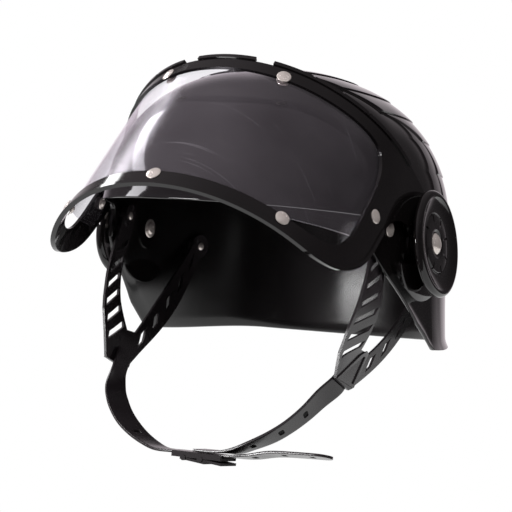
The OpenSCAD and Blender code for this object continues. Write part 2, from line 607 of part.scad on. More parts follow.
// Height of the long half's middle over the strap's lowest point
strap_lift = 2.25;
short_path = [joint + [-2.6, 0, 0], joint + [-2.8, -6, -8], joint + [-8.5, -15.5, -17.5],
    hanging(64.5, -24, -27), hanging(57.6, -30, -35.2), hanging(49, -34, -42), hanging(38, -36.5, -47.9),
    strap_mid + [28, 0.5, 5.8],
    strap_mid + [18, 0, strap_lift + 2.15], strap_mid + [4, 0, strap_lift + 1.85]];
short_across = [[0, 0.8, -0.6], [0, 0.74, -0.67], [-0.04, 0.78, -0.62], [-0.12, 0.84, -0.52],
    [-0.13, 0.9, -0.42], [-0.09, 0.93, -0.34], [-0.07, 0.97, -0.24], [-0.05, 0.98, -0.15],
    [0, 1, 0], [0, 1, 0]];
slot_long = 3.2;
slot_wide = 5.2;
module slots(path, across, at) {
    for (u = at) {
        p = spline_pt(path, u);
        d = unit(spline_pt(path, u + 0.05) - spline_pt(path, u - 0.05));
        a0 = spline_pt(across, u);
        a = unit(a0 - (a0 * d) * d);
        m = cross(d, a);
        multmatrix([[d[0], a[0], m[0], p[0]], [d[1], a[1], m[1], p[1]], [d[2], a[2], m[2], p[2]],
            [0, 0, 0, 1]]) cube([slot_long, slot_wide, 5 * strap_t], center = true);
    }
}
module chin_strap_left() {
    color(soft_black) difference() {
        band(short_path, short_across, 27, strap_w, strap_t);
        slots(short_path, short_across, [3, 4.45, 5.95]);
    }
}
// The right half is longer: it passes through the buckle and ends in a free tail
long_path = [[-joint[0] + 1.7, joint[1], joint[2] - 2], [-joint[0] + 3.3, joint[1] - 7, joint[2] - 12],
    hanging(-73.6, -11.5, -23), hanging(-69, -15.5, -30.5), hanging(-62.5, -20, -37),
    hanging(-54, -25, -43), hanging(-43.6, -30, -48.5), hanging(-32.4, -34, -53),
    strap_mid + [-22, 1.4, strap_lift],
    strap_mid + [-9, 0.4, strap_lift], strap_mid + [5, 0, strap_lift], strap_mid + [20, 0, strap_lift],
    strap_mid + [30, 0.4, strap_lift + 0.4], strap_mid + [40, 1, strap_lift + 1.6],
    strap_mid + [18 + tail_len * 0.5, 1.2, strap_lift + 4.4],
    strap_mid + [18 + tail_len * 0.75, 1.6, strap_lift + 5.4],
    strap_mid + [18 + tail_len, 2.2, strap_lift + 5.8]];
long_across = [[0, 1, -0.05], [0.03, 0.97, -0.2], [0.42, 0.87, -0.2], [0.56, 0.82, -0.12],
    [0.56, 0.82, -0.06], [0.52, 0.84, 0], [0.42, 0.91, 0], [0.28, 0.96, 0], [0.12, 0.99, 0],
    [0, 1, 0], [0, 1, 0], [0, 1, 0],
    [0, 0.99, -0.08], [0, 0.98, -0.14], [0, 0.98, -0.17], [0, 0.98, -0.17], [0, 0.98, -0.17]];
module chin_strap_right() {
    color(soft_black) difference() {
        band(long_path, long_across, 48, strap_w, strap_t);
        slots(long_path, long_across, [5.9, 13.1, 14.35, 15.3]);
    }
}

// Ladder buckle: two side rails, two round bars under the long strap, each with a slanting tongue,
// and an end bar
buckle_gap = 0.4;
rail_w = 1.6;
rail_h = 3.2;
buckle_from = -9;
buckle_to = 24;
// The round bars: radius, places along the buckle and how far their ends stand out of the rails
bar_r = 1.7;
bar_at = [-1, 10.4];
bar_ends = 0.4;
tongue_len = 16.5;
tongue_t = 1.5;
tongue_slant = 6;
end_bar_w = 2.4;
module chin_buckle() {
    half = strap_w / 2 + buckle_gap + rail_w;
    bar_z = strap_lift - strap_t / 2 - 0.3 - bar_r;
    inner = half - 0.3;
    color(soft_black) translate(strap_mid) {
        for (s = [-1, 1]) translate([buckle_from, s * (half - rail_w / 2) - rail_w / 2, -0.4])
            cube([buckle_to - buckle_from, rail_w, rail_h]);
        for (x = bar_at) {
            translate([x, half + bar_ends, bar_z]) rotate([90, 0, 0])
                cylinder(r = bar_r, h = 2 * (half + bar_ends));
            translate([x - 2.4, -inner, bar_z - 1]) rotate([0, tongue_slant, 0])
                cube([tongue_len, 2 * inner, tongue_t]);
        }
        translate([buckle_to - end_bar_w - 0.4, -inner, bar_z]) cube([end_bar_w, 2 * inner, 1.7]);
    }
}

shell();
visor_frame();
visor_window();
visor_rivets_top();
visor_rivets_bottom();
visor_rivets_side();
visor_washers_top();
visor_washers_bottom();
visor_washers_side();
ear_disc_left();
ear_disc_right();
pivot_rivet_left();
pivot_rivet_right();
pivot_washer_left();
pivot_washer_right();
strap_yoke_left();
strap_yoke_right();
yoke_rivets_left();
yoke_rivets_right();
chin_strap_left();
chin_strap_right();
chin_buckle();
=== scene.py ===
import math

import bmesh
import bpy
import numpy as np
from mathutils import Matrix, Quaternion, Vector


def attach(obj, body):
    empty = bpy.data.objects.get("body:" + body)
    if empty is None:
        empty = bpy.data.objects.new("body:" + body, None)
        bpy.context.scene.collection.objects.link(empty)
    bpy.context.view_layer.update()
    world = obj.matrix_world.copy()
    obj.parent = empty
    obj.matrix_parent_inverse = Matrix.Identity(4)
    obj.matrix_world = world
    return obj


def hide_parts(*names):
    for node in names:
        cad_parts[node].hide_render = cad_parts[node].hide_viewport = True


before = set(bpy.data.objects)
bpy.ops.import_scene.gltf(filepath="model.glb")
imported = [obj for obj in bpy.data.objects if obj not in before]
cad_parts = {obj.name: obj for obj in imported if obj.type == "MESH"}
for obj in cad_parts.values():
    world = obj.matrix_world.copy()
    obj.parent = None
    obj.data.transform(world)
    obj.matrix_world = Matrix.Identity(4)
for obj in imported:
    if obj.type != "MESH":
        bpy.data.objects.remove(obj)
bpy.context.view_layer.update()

# The shell. One thin moulding of glossy black plastic: a dome with a skirt, a lip turned out along
# the lower edge, and over the back seven overlapping plates behind a scalloped front edge.
# Sizes are in millimetres and angles in degrees, here and below; a mesh is made in metres.
mm = 0.001
half_w, shell_front, shell_rear, shell_crown, shell_wall = 95.0, 118.0, 122.0, 102.0, 2.4
crown_back, plan_n, dome_n = 8.0, 2.5, 2.36
skirt_h, skirt_flare, rear_flare, skirt_lean, skirt_n, skirt_tau = 60.0, 7.0, 0.5, 2, 1.6, 0.07
lip_out, lip_slight, lip_high, lip_from, lip_over, rim_deep = 1.6, 0.6, 6, 24, 22, 0.7
panel_az, least_az, panel_sweep, panel_from, panel_over, panel_dip = 99, 12, 38, 0.2, 0.47, 1.7
skirt_sweep, skirt_over = 4, 0.6
plate_rise, plate_low, plate_slope, edge_share, step_w = 1.8, 0.1, 0.4, 0.4, 1.6
border_w, border_top, border_fade = 9.0, 0.5, 0.1
plate_taus, plates_top = np.array([0.93, 0.79, 0.645, 0.52, 0.4, 0.255, 0.09]), 0.97
ring_gap, face_gap, crown_proud = 0.0015, 0.0035, plate_rise * 0.45
brow_z, brow_end, brow_step, neck_z, neck_sweep = 12.0, 60, 6, -56.0, 50
temple = [[-50, 2], [-50, -6], [-47, -11], [-36, -20], [-22, -30], [-8, -41], [5, -51.5], [21, -62.5]]
face_columns, back_columns, plate_rings, inner_rings = 78, 61, 13, 34
shell_ripple, shell_rough, inside_rough = 0.14, 0.045, 0.16


def signed_power(v, p):
    """The size of v raised to p, with v's own sign."""
    return np.sign(v) * np.abs(v) ** p


def ease(v):
    """0 below 0, 1 above 1, and 3 v squared less 2 v cubed between them."""
    c = np.clip(v, 0, 1)
    return c * c * (3 - 2 * c)


def curve_through(knots, u):
    """A smooth curve through the knots, one at each whole u. Between two knots it is a cubic, whose
    slope at a knot goes from the knot before to the one after."""
    k = np.asarray(knots, float)
    i = np.minimum(np.floor(u).astype(int), len(k) - 2)
    t = (u - i)[:, None]
    a, b, c, d = (k[np.clip(i + j, 0, len(k) - 1)] for j in (-1, 0, 1, 2))
    square, cube = 2 * a - 5 * b + 4 * c - d, 3 * b - a - 3 * c + d
    return 0.5 * (2 * b + (c - a) * t + square * t**2 + cube * t**3)


def dome(az, tau, inset=0.0):
    """The plain form. az goes round from the front; tau is 1 at the crown, 0 at the ears and -1 at
    the skirt's foot. Plan and section are superellipses; under the ears the skirt flares out by a
    power of its depth, and the crown leans back by the square of tau."""
    s, c = np.sin(np.radians(az)), np.cos(np.radians(az))
    t, down = np.clip(tau, 0, 1), np.maximum(0, -tau)
    k = np.maximum(0, np.cos(np.pi / 2 * t)) ** (2 / dome_n)
    reach = np.where(c > 0, shell_front, shell_rear) - inset
    flare = skirt_flare * down**skirt_n * s * s * np.where(c > 0, 1, 1 + rear_flare * c)
    lean = crown_back * t * t + skirt_lean * down**skirt_n * np.maximum(0, -c)
    x = ((half_w - inset) * k + flare) * signed_power(s, 2 / plan_n)
    y = -reach * k * signed_power(c, 2 / plan_n) + lean
    z = (shell_crown - inset) * np.sin(np.pi / 2 * t) ** (2 / dome_n) - skirt_h * down
    return np.stack(np.broadcast_arrays(x, y, z), -1)


def outward(p):
    """The direction square to the ellipsoid through p, level in the skirt."""
    x, y, z = p[..., 0], p[..., 1], np.maximum(0, p[..., 2])
    d = np.stack([x / half_w**2, y / shell_rear**2, z / shell_crown**2], -1)
    return d / np.linalg.norm(d, axis=-1, keepdims=True)


def tau_at(z):
    """The tau at height z: z over the skirt's height below the ears, and above them the section's
    own angle as a share of 90 degrees."""
    share = np.clip(np.maximum(z, 0) / shell_crown, 0, 1) ** (dome_n / 2)
    return np.where(z < 0, z / skirt_h, np.arcsin(share) / (np.pi / 2))


def az_at(y):
    """The azimuth at which the side of the form stands y behind the ears."""
    share = y / np.where(y < 0, shell_front, shell_rear)
    return np.degrees(np.arccos(-signed_power(share, plan_n / 2)))


def plate_part(tau):
    """How far down its own plate a height is: 0 at the plate's top, 1 at its lower edge, and 0 off
    the plates."""
    rising = plate_taus[::-1]
    k = np.searchsorted(rising, tau)
    on = (k > 0) & (k < len(rising))
    k = np.clip(k, 1, len(rising) - 1)
    return np.where(on, (rising[k] - tau) / (rising[k] - rising[k - 1]), 0)


def panel_edge(tau):
    """The azimuth of the plates' front edge: it sweeps forwards as a cube towards the crown, and is
    drawn in between the plates' corners, also as a cube, and a little in the skirt."""
    sweep = panel_sweep * (np.maximum(0, tau - panel_from) / panel_over) ** 3
    line = panel_az - sweep - skirt_sweep * ease(-tau / skirt_over)
    corner = panel_dip * np.abs(2 * plate_part(tau) - 1) ** 3
    return line - np.where(tau > plate_taus[-1], corner, 0)


def plate_height(az, tau):
    """How far the plates stand over the form: a step at the front edge, a smooth border, then each
    plate rising evenly to its lower edge."""
    a = np.abs(az) - panel_edge(tau)
    border = border_w * np.clip((border_top - tau) / border_fade, 0, 1)
    plates = ease((a - border) / step_w) * (plate_low + plate_slope * plate_part(tau))
    return plate_rise * (edge_share * ease(a / step_w) + plates)


def lip(edge_z, up):
    """The turned-out lip: widest at the edge, falling off above it as a square, and slight where the
    visor's arms pass."""
    out = lip_slight + (lip_out - lip_slight) * ease((-edge_z - lip_from) / lip_over)
    return out * np.maximum(0, 1 - up / lip_high) ** 2


def lower_edge():
    """The lower edge of the left half, as azimuth and height: the level brow, the temple's curve and
    the eased drop to the neck. Beside it come the shares by which columns are spaced out: before
    the temple's foot, close behind it, and on to the middle of the back."""
    knots = [[a, brow_z] for a in range(0, brow_end + 1, brow_step)]
    knots += [[66, brow_z - 0.5], [69.5, brow_z - 3.5]]
    knots += [[float(az_at(np.array(float(y)))), z] for y, z in temple]
    share = np.linspace(0, 1, face_columns)
    a = panel_az * share
    level = brow_end / brow_step
    falling = level + (a - brow_end) / (panel_az - brow_end) * (len(knots) - 1 - level)
    face = curve_through(knots, np.where(a < brow_end, a / brow_step, falling))
    foot = face[-1]
    close, seam = np.arange(0.2, 2.05, 0.2), np.arange(9, 10.9, 0.2)
    off = np.concatenate([close, np.arange(3, 9, 1.5), seam, [11.6, 12.6, 14, 16, 19]])
    spread = np.linspace(0, 1, back_columns)[1:]
    rest = 180 - off[-1] - foot[0]
    az = np.concatenate([foot[0] + off, foot[0] + off[-1] + rest * spread])
    neck = np.stack([az, foot[1] + (neck_z - foot[1]) * ease((az - foot[0]) / neck_sweep)], -1)
    return np.concatenate([face, neck]), share, off, spread


def shell_rows():
    """Rings of points from the outer crown down to the lower edge, round that in a half circle, and
    up the inner wall. Beside them it returns how many rings the inner wall has."""
    edge, share, off, spread = lower_edge()
    n = len(edge)
    pick = np.concatenate([np.arange(n), np.arange(n - 2, 0, -1)])
    side = np.where(np.arange(2 * n - 2) < n, 1, -1)
    edge_az, edge_z = edge[pick, 0], edge[pick, 1]

    def column(tau):
        """Each column's azimuth at tau: shared out up to the plates' front edge, following it, then
        spread to the back."""
        e = np.maximum(least_az, float(panel_edge(np.array(tau))))
        back = e + off[-1] + (180 - off[-1] - e) * spread
        return np.concatenate([e * share, e + off, back])[pick]

    def ring(tau, az, inset):
        """One ring on the form, with the lip and, outside, the plates on it."""
        p = dome(side * az, tau, inset)
        rise = lip(edge_z, p[:, 2] - edge_z) + (0 if inset else plate_height(az, tau))
        return p + outward(p) * np.asarray(rise)[:, None]

    def level(tau, inset):
        """A ring of the dome, all at one tau."""
        return ring(np.full(len(pick), tau), column(tau), inset)

    def skirt(s, inset):
        """A ring between the lower edge, where s is 0, and the foot of the dome, where s is 1."""
        low = tau_at(edge_z)
        az = edge_az + (column(skirt_tau) - edge_az) * (1 - (1 - s) ** 2)
        return ring(low + (skirt_tau - low) * s, az, inset)

    steps = [skirt_tau, 0.088, 0.978, 0.986, 0.993]
    for low, high in zip(plate_taus[::-1], [*plate_taus[-2::-1], plates_top]):
        plate = np.linspace(low + face_gap, high - face_gap, plate_rings)
        steps += [low + ring_gap, *plate, high - ring_gap]
    near = [0, 0.012, 0.03, 0.05, 0.075, 0.1, 0.13, 0.17, 0.22, 0.28, *np.linspace(0.35, 0.96, 14)]
    outer = [level(t, 0) for t in sorted(steps, reverse=True)] + [skirt(s, 0) for s in near[::-1]]
    inner = [skirt(s, shell_wall) for s in near]
    rising = [*np.linspace(skirt_tau, 0.9, inner_rings), 0.95, 0.98, 0.993]
    inner += [level(t, shell_wall) for t in rising]
    a, b = outer[-1], inner[0]
    down = outer[-1] - outer[-3]
    down /= np.linalg.norm(down, axis=1, keepdims=True)
    turn = np.radians([30, 60, 90, 120, 150])
    rim = [(a + b) / 2 + (a - b) / 2 * np.cos(f) + down * rim_deep * np.sin(f) for f in turn]
    return np.array(outer + rim + inner), len(inner)


def skin(grid, ends):
    """Quads between neighbouring points of a grid whose rows are closed loops. The first and last
    loops are joined where ends is ring, spanned from side to side where it is strip, and otherwise
    drawn to the two points given."""
    rows, cols = grid.shape[:2]
    kind = ends if isinstance(ends, str) else "points"
    index = np.arange(rows * cols).reshape(rows, cols)
    low, high = (index, np.roll(index, -1, 0)) if kind == "ring" else (index[:-1], index[1:])
    quads = np.stack([low, high, np.roll(high, -1, 1), np.roll(low, -1, 1)], -1).reshape(-1, 4)
    points, fans = grid.reshape(-1, 3), np.zeros((0, 3), int)
    if kind == "strip":
        k = np.arange(cols // 2 - 1)
        across = (k, k + 1, cols - 2 - k, cols - 1 - k)
        caps = [np.stack([loop[j] for j in across], -1) for loop in (index[0], index[-1])]
        quads = np.concatenate([quads, caps[0], caps[1][:, ::-1]])
    elif kind == "points":
        points = np.concatenate([points, ends])
        tips = [np.stack([np.full(cols, rows * cols + j), loop, np.roll(loop, -1)], -1)
                for j, loop in enumerate((index[0], index[-1]))]
        fans = np.concatenate([tips[0], tips[1][:, ::-1]])
    return points, quads, fans


def make_piece(name, parts, body, finish, replaces=(), sharp=38):
    """One object from parts of points in millimetres, quads and triangles. A part whose volume, the
    sum of its triangles' products with the origin, is negative has its faces turned round."""
    points, faces, first = [], [], 0
    for p, quads, fans in parts:
        triangles = np.concatenate([quads[:, [0, 1, 2]], quads[:, [0, 2, 3]], fans])
        a, b, c = (p[triangles[:, j]] for j in range(3))
        if np.einsum("ij,ij->i", a, np.cross(b, c)).sum() < 0:
            quads, fans = quads[:, ::-1], fans[:, ::-1]
        points.append(p)
        faces += (quads + first).tolist() + (fans + first).tolist()
        first += len(p)
    mesh = bpy.data.meshes.new(name)
    mesh.from_pydata((np.concatenate(points) * mm).tolist(), [], faces)
    mesh.shade_smooth()
    mesh.set_sharp_from_angle(angle=math.radians(sharp))
    mesh.materials.append(finish)
    obj = bpy.data.objects.new(name, mesh)
    bpy.context.scene.collection.objects.link(obj)
    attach(obj, body)
    if replaces:
        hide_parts(*replaces)
    return obj


def mark_points(piece, name, values):
    """Keeps a number from 0 to 1 for each point of a piece, which its material reads by this name."""
    layer = piece.data.attributes.new(name, "FLOAT", "POINT")
    layer.data.foreach_set("value", values)


def node_adder(tree):
    """A short way to add nodes to a tree. A value goes to the node's setting of that name, or else
    to its input of that name, or by number for in0, in1 and so on; an output is linked to it."""

    def add(kind, **values):
        node = tree.nodes.new(kind)
        for key, value in values.items():
            if hasattr(node, key):
                setattr(node, key, value)
                continue
            socket = node.inputs[int(key[2:]) if key.startswith("in") else key.replace("_", " ")]
            if isinstance(value, bpy.types.NodeSocket):
                tree.links.new(value, socket)
            else:
                socket.default_value = value
        return node

    return add


def new_finish(name):
    """A material with its node tree, its shader, and the short way to add nodes to it."""
    finish = bpy.data.materials.new(name)
    finish.use_nodes = True
    tree = finish.node_tree
    return finish, tree, tree.nodes["Principled BSDF"], node_adder(tree)


def noise(add, scale, detail, roughness=0.5):
    """A cloudy pattern from 0 to 1 that is fixed to the object."""
    place = add("ShaderNodeTexCoord").outputs["Object"]
    cloud = add("ShaderNodeTexNoise", Vector=place, Scale=scale, Detail=detail, Roughness=roughness)
    return cloud.outputs["Fac"]


def ranged(add, pattern, start, end, first, last, kind="LINEAR"):
    """Turns a pattern's span from start to end into values from the first to the last."""
    node = add("ShaderNodeMapRange", in0=pattern, in1=start, in2=end, in3=first, in4=last,
               interpolation_type=kind)
    return node.outputs["Result"]


def worked(add, operation, *inputs):
    """A sum, product, power or the like of its inputs."""
    values = {"in%d" % i: value for i, value in enumerate(inputs)}
    return add("ShaderNodeMath", operation=operation, **values).outputs[0]


def bumped(add, pattern, strength, distance, **under):
    """A normal raised by a pattern, over another normal where one is given."""
    node = add("ShaderNodeBump", Strength=strength, Distance=distance, Height=pattern, **under)
    return node.outputs["Normal"]


def two_tones(add, pattern, first, last):
    """A colour that runs evenly from the first to the last as a pattern goes from 0 to 1."""
    tone = add("ShaderNodeValToRGB", Fac=pattern)
    for stop, colour in zip(tone.color_ramp.elements, (first, last)):
        stop.color = (*colour, 1)
    return tone.outputs["Color"]


def wire_up(tree, shader, colour, roughness, normal):
    """Leads a colour, a roughness and a bumped normal into the shader."""
    for socket, source in (("Base Color", colour), ("Roughness", roughness), ("Normal", normal)):
        tree.links.new(source, shader.inputs[socket])


def glossy_black(name, ripple, roughness):
    """Black moulded plastic: a clear gloss over near black, with the slow ripple of a thin wall, a
    fine grain and rubbed patches, and duller where the points are marked as inside."""
    finish, tree, shader, add = new_finish(name)
    rubbed = noise(add, 48.0, 6.0, 0.65)
    tone = two_tones(add, rubbed, (0.0032, 0.0027, 0.0028), (0.0062, 0.0052, 0.0054))
    gloss = ranged(add, rubbed, 0.3, 0.75, roughness, roughness + 0.05)
    inside = add("ShaderNodeAttribute", attribute_name="inside").outputs["Fac"]
    gloss = worked(add, "MULTIPLY_ADD", inside, inside_rough, gloss)
    wave = bumped(add, noise(add, 26.0, 1.5, 0.4), ripple, 0.0016)
    fine = bumped(add, noise(add, 330.0, 2.0), 0.004, 0.0001, Normal=wave)
    wire_up(tree, shader, tone, gloss, fine)
    shader.inputs["Specular IOR Level"].default_value = 0.5
    return finish


shell_black = glossy_black("shell_black", shell_ripple, shell_rough)
rows, inner_count = shell_rows()
crown_outside = [0, crown_back, shell_crown + crown_proud]
crown_inside = [0, crown_back, shell_crown - shell_wall]
shell_skin = skin(rows, np.array([crown_outside, crown_inside]))
shell_piece = make_piece("shell_moulding", [shell_skin], "helmet", shell_black,
                         ["shell"])
is_inside = np.arange(len(rows)) > len(rows) - inner_count
is_inside = np.repeat(is_inside, rows.shape[1]).astype(float)
mark_points(shell_piece, "inside", np.append(is_inside, [0, 1]))

# The ear seats. On each side of the shell a round pad carries the visor's arm, and the half-round
# ledge under it stops the arm when the visor is down. They are moulded with the shell.
pad_r, pad_in, pad_out, pad_edge = 13.0, 92, 96.5, 0.4
ledge_r, ledge_in, ledge_out, ledge_edge, ledge_top = 34.5, 93.8, 101.5, 1.0, -13.4


def on_circle(radius, turn):
    """Points of y and z on a circle round the ear axis, at the turns given."""
    return radius * np.column_stack([np.cos(turn), np.sin(turn)])


def side_post(outline, low, high, edge, side):
    """A flat outline of y and z, stood out sideways from low to high, with its outer corner rounded
    off by a quarter circle of radius edge."""
    centre = outline.mean(0)
    reach = np.abs(outline - centre).max()

    def lay(x, shrink):
        line = centre + (outline - centre) * shrink
        return np.column_stack([np.full(len(outline), side * x), line])

    rings = [lay(low, 1)]
    for f in np.radians(np.linspace(0, 90, 6)):
        rings.append(lay(high - edge + edge * math.sin(f), 1 - edge * (1 - math.cos(f)) / reach))
    return skin(np.array(rings), np.array([[side * low, *centre], [side * high, *centre]]))


ledge_cut = math.asin(ledge_top / ledge_r)
pad_line = on_circle(pad_r, np.linspace(0, 2 * np.pi, 73)[:-1])
ledge_line = on_circle(ledge_r, np.linspace(ledge_cut, -math.pi - ledge_cut, 70))
seats = [side_post(pad_line, pad_in, pad_out, pad_edge, side) for side in (1, -1)]
seats += [side_post(ledge_line, ledge_in, ledge_out, ledge_edge, side) for side in (1, -1)]
make_piece("ear_seats", seats, "helmet", shell_black)

# The visor's frame. One moulding of the same black plastic: a bar above and below the window, the
# two arms that narrow to round hubs on the ear pivots, and a raised bead along its edges.
frame_ripple, frame_rough, frame_edge = 0.08, 0.07, 0.35
merge_dist, flat_angle, crease_angle, bevel_angle = 4e-6, 0.2, 32, 38
frame_black = glossy_black("frame_black", frame_ripple, frame_rough)


def rounded_copy(node, name, body, finish, edge_mm, cuts=(), bend=None):
    """A copy of the solid with its loose triangles merged and its flat faces joined, and every sharp
    edge rounded off. Where it is bent, it is first cut across by planes, each a point and a
    direction, and its points are then moved by the rule given."""
    work = bmesh.new()
    work.from_mesh(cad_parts[node].data)
    bmesh.ops.remove_doubles(work, verts=work.verts, dist=merge_dist)
    flat = math.radians(flat_angle)
    bmesh.ops.dissolve_limit(work, angle_limit=flat, verts=work.verts, edges=work.edges)
    for point, direction in cuts:
        whole = [*work.verts, *work.edges, *work.faces]
        bmesh.ops.bisect_plane(work, geom=whole, plane_co=point, plane_no=direction)
    mesh = bpy.data.meshes.new(name)
    work.to_mesh(mesh)
    work.free()
    if bend:
        points = np.empty(len(mesh.vertices) * 3)
        mesh.vertices.foreach_get("co", points)
        mesh.vertices.foreach_set("co", bend(points.reshape(-1, 3)).ravel())
        mesh.update()
    if "custom_normal" in mesh.attributes:
        mesh.attributes.remove(mesh.attributes["custom_normal"])
    mesh.shade_smooth()
    mesh.set_sharp_from_angle(angle=math.radians(crease_angle))
    mesh.materials.clear()
    mesh.materials.append(finish)
    obj = bpy.data.objects.new(name, mesh)
    bpy.context.scene.collection.objects.link(obj)
    edge = obj.modifiers.new("rounded_edges", "BEVEL")
    edge.width, edge.segments = edge_mm * mm, 2
    edge.limit_method, edge.angle_limit = "ANGLE", math.radians(bevel_angle)
    edge.use_clamp_overlap, edge.harden_normals = True, False
    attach(obj, body)
    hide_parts(node)
    return obj


rounded_copy("visor_frame", "frame_moulding", "visor", frame_black, frame_edge)

# The window. A clear plastic sheet bent round inside the frame, its lower corners cut off slantwise,
# faintly grey, with the rubbed haze and fine scratches of handling.
visor_ahead, visor_r, visor_mid, visor_drop, visor_top, visor_up = 30.4, 97.0, -33.0, 91.0, 23.5, 41.0
visor_wall, sheet_t, sheet_gap, cone = 2.0, 0.8, 0.05, math.radians(1.5)
sheet_out, sheet_low, sheet_top = -visor_wall / 2 - sheet_gap, -visor_drop + 4.5, visor_top - 4
sheet_turn, corner_y, corner_h = 81.5, [-150, -108, -53, -40], [sheet_low, sheet_low, -50.3, -42]


def visor_radius(h):
    """The visor's wall is a cone round its own axis: wider below its middle and narrower above, by
    the tangent of the cone's angle."""
    return visor_r - math.tan(cone) * (h - visor_mid)


def raise_visor(p):
    """Points of the closed visor turned up about the hinge axis by the angle at which it stands."""
    c, s = math.cos(math.radians(visor_up)), math.sin(math.radians(visor_up))
    return p @ np.array([[1, 0, 0], [0, c, -s], [0, s, c]])


def sheet_grid():
    """For each angle round the visor a thin loop: up the outer face, from the lower edge with its
    cut corners to the top, and down the inner face."""
    theta = np.radians(np.linspace(-sheet_turn, sheet_turn, 165))
    low = np.full(len(theta), sheet_low)
    for _ in range(3):
        y = -visor_ahead - (visor_radius(low) + sheet_out) * np.cos(theta)
        low = np.interp(y, corner_y, corner_h)
    h = low[:, None] + (sheet_top - low[:, None]) * np.linspace(0, 1, 27)[None, :]

    def face(off):
        r = visor_radius(h) + off
        x, y = r * np.sin(theta)[:, None], -visor_ahead - r * np.cos(theta)[:, None]
        return np.stack([x, y, h], -1)

    return raise_visor(np.concatenate([face(sheet_out), face(sheet_out - sheet_t)[:, ::-1]], 1))


def clear_sheet():
    """See-through plastic. It mirrors by the fifth power of its facing, on the first face that is
    met, softened by a cloud of wear, and lets the rest through but for a thin haze and scratches
    that run round the sheet. Mirror and haze are the metal and the plain part of one shader."""
    finish, tree, shader, add = new_finish("clear_sheet")
    facing = add("ShaderNodeLayerWeight", Blend=0.5).outputs["Facing"]
    back_face = add("ShaderNodeNewGeometry").outputs["Backfacing"]
    first = worked(add, "SUBTRACT", 1.0, back_face)
    fifth = worked(add, "POWER", facing, 5.0)
    mirror = worked(add, "MULTIPLY", worked(add, "MULTIPLY_ADD", fifth, 0.9, 0.075), first)
    long_way = add("ShaderNodeMapping", Vector=add("ShaderNodeTexCoord").outputs["Object"])
    long_way.inputs["Rotation"].default_value = (0.5, 0.35, 0.9)
    long_way.inputs["Scale"].default_value = (14, 900, 14)
    lines = add("ShaderNodeTexNoise", Vector=long_way.outputs[0], Scale=1.0, Detail=3.0)
    scratch = ranged(add, lines.outputs["Fac"], 0.66, 0.8, 0.0, 0.09)
    cloud = noise(add, 22.0, 5.0, 0.6)
    haze = ranged(add, cloud, 0.3, 0.8, 0.012, 0.034)
    veil = worked(add, "MULTIPLY", worked(add, "ADD", scratch, haze), first)
    cover = worked(add, "ADD", mirror, veil)
    through = add("ShaderNodeBsdfTransparent", Color=(0.955, 0.945, 0.965, 1))
    shader.inputs["Base Color"].default_value = (0.93, 0.87, 0.96, 1)
    tree.links.new(worked(add, "DIVIDE", mirror, cover), shader.inputs["Metallic"])
    tree.links.new(ranged(add, cloud, 0.3, 0.7, 0.21, 0.27), shader.inputs["Roughness"])
    both = add("ShaderNodeMixShader", in0=cover, in1=through.outputs[0], in2=shader.outputs[0])
    tree.links.new(both.outputs[0], tree.nodes["Material Output"].inputs["Surface"])
    return finish


sheet_skin = skin(sheet_grid(), "strip")
make_piece("window_sheet", [sheet_skin], "visor", clear_sheet(), ["visor_window"])

# The visor's rivets and washers. Seven nickelled steel rivets hold the sheet to the frame, each a
# low domed head outside, a shank through both, and a tail clinched over a washer behind.
rivet_head, rivet_high, shank_d, head_seat, hole_play, tail_play = 8.6, 1.25, 3.0, 0.05, 0.1, 0.15
tail_r, tail_h, washer_r, washer_t, washer_gap, washer_edge = shank_d * 0.85, 1.1, 4, 0.6, 0.15, 0.2
visor_grip = visor_wall + sheet_t + washer_gap + washer_t + tail_play
visor_places = {
    "top": [(-24, visor_top - 9.4), (24, visor_top - 9.4)],
    "bottom": [(0, -visor_drop + 8.6), (-46.2, -visor_drop + 8.8), (46.2, -visor_drop + 8.8)],
    "side": [(-77.2, -30.5), (77.2, -30.5)],
}


def turned(profile, places, steps=40):
    """A profile of radius and height, from the axis and back to it, spun about each place's own
    upright axis."""
    f = np.linspace(0, 2 * np.pi, steps + 1)[:-1]
    r, z = np.array(profile, float).T
    ring = np.stack([r[1:-1, None] * np.cos(f), r[1:-1, None] * np.sin(f), z[1:-1, None] + 0 * f], -1)
    tips = np.array([[0, 0, z[0]], [0, 0, z[-1]]])
    return [skin(ring @ m[:, :3].T + m[:, 3], tips @ m[:, :3].T + m[:, 3]) for m in places]


def upright_on(point, direction):
    """The turn and shift that stand an upright piece on a point, along a direction."""
    d = np.array(direction, float) / np.linalg.norm(direction)
    x = np.cross([0, 0, 1], d)
    x /= np.linalg.norm(x)
    return np.column_stack([x, np.cross(d, x), d, point])


def on_visor(angle, h, off):
    """A place on the visor's wall, at an angle from the front and a height, moved off along the
    wall's own outward direction."""
    a = math.radians(angle)
    level = math.cos(cone)
    out = np.array([math.sin(a) * level, -math.cos(a) * level, math.sin(cone)])
    r = visor_radius(h)
    p = np.array([r * math.sin(a), -visor_ahead - r * math.cos(a), h]) + out * off
    return upright_on(raise_visor(p), raise_visor(out))


def domed(radius, high, edge, n):
    """An arc of a sphere from the rim, edge high, to the crown on the axis."""
    ball = (radius**2 + (high - edge) ** 2) / (2 * (high - edge))
    turn = [math.asin(radius / ball) * (1 - i / n) for i in range(n + 1)]
    return [[ball * math.sin(a), high - ball + ball * math.cos(a)] for a in turn]


def rivet_profile(grip):
    """A small rivet from the tail's tip up: a rounded tail, the shank, as long as the grip, the flat
    under the head, its rolled rim and its dome."""
    turn = [math.radians(a) for a in range(0, 91, 10)]
    tail = [[tail_r * math.sin(a), -grip - tail_h * math.cos(a)] for a in turn]
    half = rivet_head / 2
    shank = [[shank_d / 2, -grip], [shank_d / 2, 0]]
    rim = [[half - 0.25, 0], [half - 0.05, 0.06], [half, 0.25], [half - 0.06, 0.42]]
    return tail + shank + rim + domed(half - 0.18, rivet_high, 0.52, 12)


